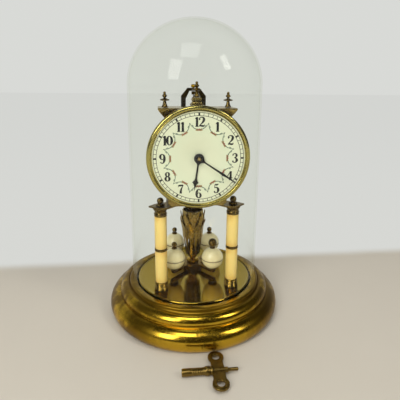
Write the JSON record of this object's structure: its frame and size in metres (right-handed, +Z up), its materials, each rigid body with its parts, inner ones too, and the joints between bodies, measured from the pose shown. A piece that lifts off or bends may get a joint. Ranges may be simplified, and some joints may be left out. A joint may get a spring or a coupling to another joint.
{
  "type": "anniversary clock",
  "caption": "Torsion pendulum clock under a lift-off glass dome: round dial on two ivory columns, spun brass base, four-ball pendulum, geared train and loose winding key.",
  "frame": {"origin": "middle of the felt underside that the clock stands on", "axes": "+Z up, the dial faces -Y, +X to the right as the dial is read"},
  "size_m": [0.192, 0.2381, 0.316],
  "materials": {
    "brass": "polished, aged",
    "aged_brass": "darkened with age",
    "wheel_brass": "brushed",
    "steel": "ground",
    "spring_steel": "blued",
    "ivory": "yellowed ivory",
    "cream_lacquer": "cream lacquer",
    "dial": "satin cream with printed figures",
    "black": "black lacquer",
    "glass": "clear blown glass",
    "felt": "felt"
  },
  "bodies": {
    "clock_frame": {"back_plate": "wheel_brass", "base_plate": "brass", "base_shell": "brass", "bezel": "brass", "capital_left": "aged_brass", "capital_right": "aged_brass", "click_spring": "spring_steel", "column_band_left": "aged_brass", "column_band_right": "aged_brass", "column_collar_left": "aged_brass", "column_collar_right": "aged_brass", "cornice": "brass", "dial": "dial", "dial_case": "aged_brass", "felt_pad": "felt", "finial_centre": "aged_brass", "finial_left": "aged_brass", "finial_right": "aged_brass", "front_plate": "wheel_brass", "lower_sleeve_left": "ivory", "lower_sleeve_right": "ivory", "platform": "aged_brass", "suspension_bracket": "aged_brass", "suspension_screw": "brass", "suspension_spring": "steel", "tie_rod_left": "aged_brass", "tie_rod_right": "aged_brass", "upper_sleeve_left": "ivory", "upper_sleeve_right": "ivory"},
    "dome": {"glass_dome": "glass"},
    "key": {"winding_key": "aged_brass"},
    "centre": {"minute_hand": "black", "hand_nut": "brass", "centre_wheel": "wheel_brass"},
    "hour": {"hour_hand": "black", "hour_wheel": "wheel_brass"},
    "minute_wheel": {"minute_wheel": "wheel_brass"},
    "third_wheel": {"third_wheel": "wheel_brass"},
    "escape_wheel": {"escape_wheel": "wheel_brass"},
    "intermediate_wheel": {"intermediate_wheel": "wheel_brass"},
    "second_wheel": {"second_wheel": "wheel_brass"},
    "barrel": {"mainspring_barrel": "wheel_brass", "barrel_cover": "wheel_brass", "mainspring": "spring_steel"},
    "winding": {"winding_arbor": "steel"},
    "click": {"click": "steel"},
    "pendulum": {"pendulum_table": "aged_brass", "pendulum_crown": "aged_brass", "pendulum_spindle": "brass"},
    "regulator": {"regulator_disc": "brass"},
    "fork": {"fork": "brass"},
    "anchor": {"anchor": "steel"},
    "ball_back_right": {"ball_back_right": "cream_lacquer", "ball_finial_back_right": "aged_brass"},
    "ball_back_left": {"ball_back_left": "cream_lacquer", "ball_finial_back_left": "aged_brass"},
    "ball_front_left": {"ball_front_left": "cream_lacquer", "ball_finial_front_left": "aged_brass"},
    "ball_front_right": {"ball_front_right": "cream_lacquer", "ball_finial_front_right": "aged_brass"}
  },
  "joints": [
    {"name": "dome_lift", "type": "slide", "parent": "clock_frame", "child": "dome", "axis": [0, 0, 1], "range_m": [0, 0.25]},
    {"name": "key_lift", "type": "slide", "parent": "clock_frame", "child": "key", "axis": [0, 0, 1], "range_m": [0, 0.06]},
    {"name": "minute_turn", "type": "hinge", "parent": "clock_frame", "child": "centre", "pos_m": [0, 0, 0.1804], "axis": [0, 1, 0], "continuous": true},
    {"name": "hour_turn", "type": "hinge", "parent": "clock_frame", "child": "hour", "pos_m": [0, 0, 0.1804], "axis": [0, 1, 0], "continuous": true},
    {"name": "minute_wheel_turn", "type": "hinge", "parent": "clock_frame", "child": "minute_wheel", "pos_m": [0.01, 0, 0.17241], "axis": [0, 1, 0], "continuous": true},
    {"name": "third_turn", "type": "hinge", "parent": "clock_frame", "child": "third_wheel", "pos_m": [0.01, 0, 0.1902], "axis": [0, 1, 0], "continuous": true},
    {"name": "escape_turn", "type": "hinge", "parent": "clock_frame", "child": "escape_wheel", "pos_m": [0, 0, 0.19683], "axis": [0, 1, 0], "continuous": true},
    {"name": "intermediate_turn", "type": "hinge", "parent": "clock_frame", "child": "intermediate_wheel", "pos_m": [-0.0105, 0, 0.1719], "axis": [0, 1, 0], "continuous": true},
    {"name": "second_turn", "type": "hinge", "parent": "clock_frame", "child": "second_wheel", "pos_m": [0.003, 0, 0.1629], "axis": [0, 1, 0], "continuous": true},
    {"name": "barrel_turn", "type": "hinge", "parent": "clock_frame", "child": "barrel", "pos_m": [-0.008, 0, 0.14748], "axis": [0, 1, 0], "continuous": true},
    {"name": "winding_turn", "type": "hinge", "parent": "clock_frame", "child": "winding", "pos_m": [-0.008, 0, 0.14748], "axis": [0, 1, 0], "range_deg": [-5850, 0]},
    {"name": "click_lift", "type": "hinge", "parent": "clock_frame", "child": "click", "pos_m": [0.008, 0, 0.14848], "axis": [0, 1, 0], "range_deg": [0, 10], "stiffness_Nm_per_rad": 0.002},
    {"name": "pendulum_turn", "type": "hinge", "parent": "clock_frame", "child": "pendulum", "pos_m": [0, 0.016, 0], "axis": [0, 0, 1], "range_deg": [-135, 135], "stiffness_Nm_per_rad": 0.00003},
    {"name": "fork_turn", "type": "hinge", "parent": "clock_frame", "child": "fork", "pos_m": [0, 0.016, 0.2344], "axis": [0, 0, 1], "range_deg": [-9.72, 9.72]},
    {"name": "anchor_rock", "type": "hinge", "parent": "clock_frame", "child": "anchor", "pos_m": [0, 0, 0.207], "axis": [0, 1, 0], "range_deg": [-3.6, 3.6]},
    {"name": "regulator_turn", "type": "hinge", "parent": "pendulum", "child": "regulator", "pos_m": [0, 0.016, 0.0435], "axis": [0, 0, 1], "range_deg": [-90.1, 90.1]},
    {"name": "ball_back_right_slide", "type": "slide", "parent": "pendulum", "child": "ball_back_right", "axis": [0.7431, 0.6691, 0], "range_m": [-0.0012, 0.0012]},
    {"name": "ball_back_left_slide", "type": "slide", "parent": "pendulum", "child": "ball_back_left", "axis": [-0.6691, 0.7431, 0], "range_m": [-0.0012, 0.0012]},
    {"name": "ball_front_left_slide", "type": "slide", "parent": "pendulum", "child": "ball_front_left", "axis": [-0.7431, -0.6691, 0], "range_m": [-0.0012, 0.0012]},
    {"name": "ball_front_right_slide", "type": "slide", "parent": "pendulum", "child": "ball_front_right", "axis": [0.6691, -0.7431, 0], "range_m": [-0.0012, 0.0012]}
  ],
  "couplings": [
    {"joint": "hour_turn", "follows": "minute_turn", "ratio": 0.083333},
    {"joint": "minute_wheel_turn", "follows": "minute_turn", "ratio": -0.33333},
    {"joint": "third_turn", "follows": "minute_turn", "ratio": -4},
    {"joint": "escape_turn", "follows": "minute_turn", "ratio": 16},
    {"joint": "intermediate_turn", "follows": "minute_turn", "ratio": -0.125},
    {"joint": "second_turn", "follows": "minute_turn", "ratio": 0.015625},
    {"joint": "barrel_turn", "follows": "minute_turn", "ratio": -0.0019531},
    {"joint": "fork_turn", "follows": "pendulum_turn", "ratio": 0.072},
    {"joint": "anchor_rock", "follows": "pendulum_turn", "ratio": 0.025714},
    {"joint": "ball_back_right_slide", "follows": "ball_front_left_slide", "ratio": 1},
    {"joint": "ball_back_left_slide", "follows": "ball_front_left_slide", "ratio": 1},
    {"joint": "ball_front_right_slide", "follows": "ball_front_left_slide", "ratio": 1},
    {"joint": "regulator_turn", "follows": "ball_front_left_slide", "rad_per_m": 1309}
  ]
}
